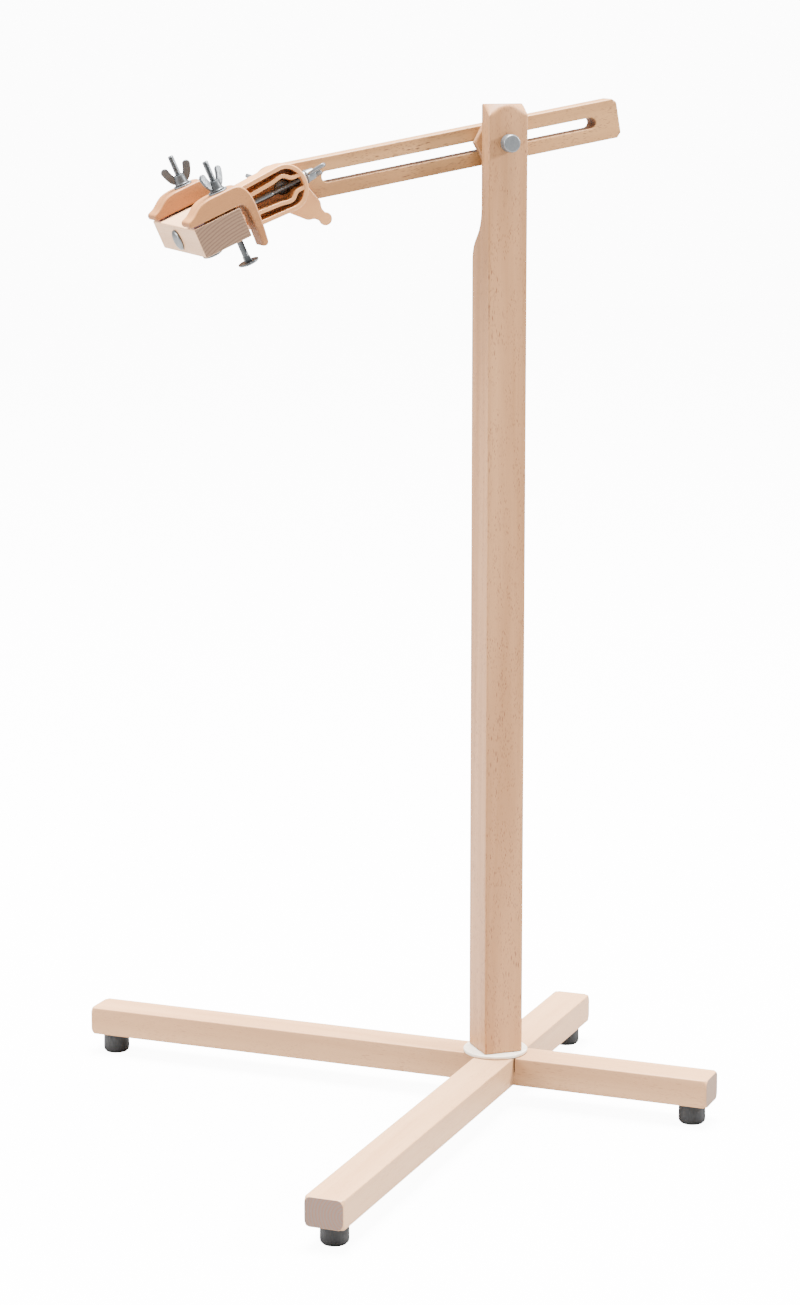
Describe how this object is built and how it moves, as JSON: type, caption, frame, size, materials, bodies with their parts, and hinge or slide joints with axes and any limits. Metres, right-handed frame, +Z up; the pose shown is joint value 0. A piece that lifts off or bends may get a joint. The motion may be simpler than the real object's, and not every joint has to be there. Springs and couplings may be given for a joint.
{
  "type": "embroidery hoop stand",
  "caption": "Wooden floor stand on a four-legged cross, with a slotted tilting arm and a clamp head whose claws grip an embroidery hoop's rim.",
  "frame": {"origin": "on the floor, under the middle of the stand's bounding box", "axes": "+Z up; +X along the arm, away from the clamp head; -Y is the post's front face"},
  "size_m": [0.523, 0.6702, 0.9935],
  "materials": {
    "beech": "satin lacquer",
    "pale_beech": "satin lacquer",
    "plastic": "smooth moulded",
    "disc_plastic": "smooth",
    "rubber": "matte",
    "felt": "matte",
    "zinc": "zinc plated",
    "dark_steel": "dark zinc",
    "brass": "machined"
  },
  "bodies": {
    "base": {"side_bar": "beech", "front_bar": "beech", "foot_left": "rubber", "foot_right": "rubber", "foot_front": "rubber", "foot_rear": "rubber", "foot_screw_left": "zinc", "foot_screw_right": "zinc", "foot_screw_front": "zinc", "foot_screw_rear": "zinc", "swivel_disc": "disc_plastic", "swivel_bolt": "zinc", "swivel_washer": "zinc"},
    "column": {"post": "pale_beech", "threaded_insert": "brass", "hub_bolt": "zinc", "hub_spacer": "beech"},
    "hub_clamp": {"hub_washer": "zinc"},
    "hub_nut": {"hub_wing_nut": "zinc"},
    "arm": {"arm": "beech"},
    "head": {"clip": "plastic", "pivot_plate": "plastic", "pivot_bolt": "dark_steel", "pivot_washer": "zinc"},
    "pivot_nut": {"pivot_wing_nut": "zinc"},
    "hoop_block": {"rod": "dark_steel", "block": "pale_beech", "rod_washer": "zinc"},
    "rod_nut": {"rod_wing_nut": "zinc"},
    "claw_near": {"claw_near": "beech", "claw_pad_near": "felt", "claw_bolt_near": "zinc", "claw_washer_near": "zinc"},
    "claw_nut_near": {"claw_wing_nut_near": "zinc"},
    "claw_far": {"claw_far": "beech", "claw_pad_far": "felt", "claw_bolt_far": "zinc", "claw_washer_far": "zinc"},
    "claw_nut_far": {"claw_wing_nut_far": "zinc"}
  },
  "joints": [
    {"name": "post_swivel", "type": "hinge", "parent": "base", "child": "column", "pos_m": [0.0798, 0.02201, 0.0515], "axis": [0, 0, 1], "range_deg": [-120, 120]},
    {"name": "arm_tilt", "type": "hinge", "parent": "column", "child": "hub_clamp", "pos_m": [0.0798, 0.03925, 0.9532], "axis": [0, 1, 0], "range_deg": [-30, 30]},
    {"name": "arm_slide", "type": "slide", "parent": "hub_clamp", "child": "arm", "axis": [0.9856, 0, 0.1693], "range_m": [-0.095, 0.085]},
    {"name": "hub_nut_spin", "type": "hinge", "parent": "column", "child": "hub_nut", "pos_m": [0.0798, 0.05826, 0.9532], "axis": [0, 1, 0], "continuous": true},
    {"name": "head_tilt", "type": "hinge", "parent": "arm", "child": "head", "pos_m": [-0.14097, 0.03925, 0.91527], "axis": [0, 1, 0], "range_deg": [-40, 60]},
    {"name": "pivot_nut_spin", "type": "hinge", "parent": "head", "child": "pivot_nut", "pos_m": [-0.14097, 0.05826, 0.91527], "axis": [0, 1, 0], "continuous": true},
    {"name": "rod_roll", "type": "hinge", "parent": "head", "child": "hoop_block", "pos_m": [-0.14097, 0.01175, 0.91527], "axis": [0.9135, 0, 0.4067], "range_deg": [-45, 45]},
    {"name": "rod_nut_spin", "type": "hinge", "parent": "hoop_block", "child": "rod_nut", "pos_m": [-0.11356, 0.01175, 0.92747], "axis": [0.9135, 0, 0.4067], "continuous": true},
    {"name": "claw_lift_near", "type": "slide", "parent": "hoop_block", "child": "claw_near", "axis": [-0.4067, 0, 0.9135], "range_m": [0, 0.02]},
    {"name": "claw_nut_spin_near", "type": "hinge", "parent": "claw_near", "child": "claw_nut_near", "pos_m": [-0.22575, -0.04324, 0.9213], "axis": [-0.4067, 0, 0.9135], "continuous": true},
    {"name": "claw_lift_far", "type": "slide", "parent": "hoop_block", "child": "claw_far", "axis": [-0.4067, 0, 0.9135], "range_m": [0, 0.02]},
    {"name": "claw_nut_spin_far", "type": "hinge", "parent": "claw_far", "child": "claw_nut_far", "pos_m": [-0.22575, 0.06675, 0.9213], "axis": [-0.4067, 0, 0.9135], "continuous": true}
  ]
}
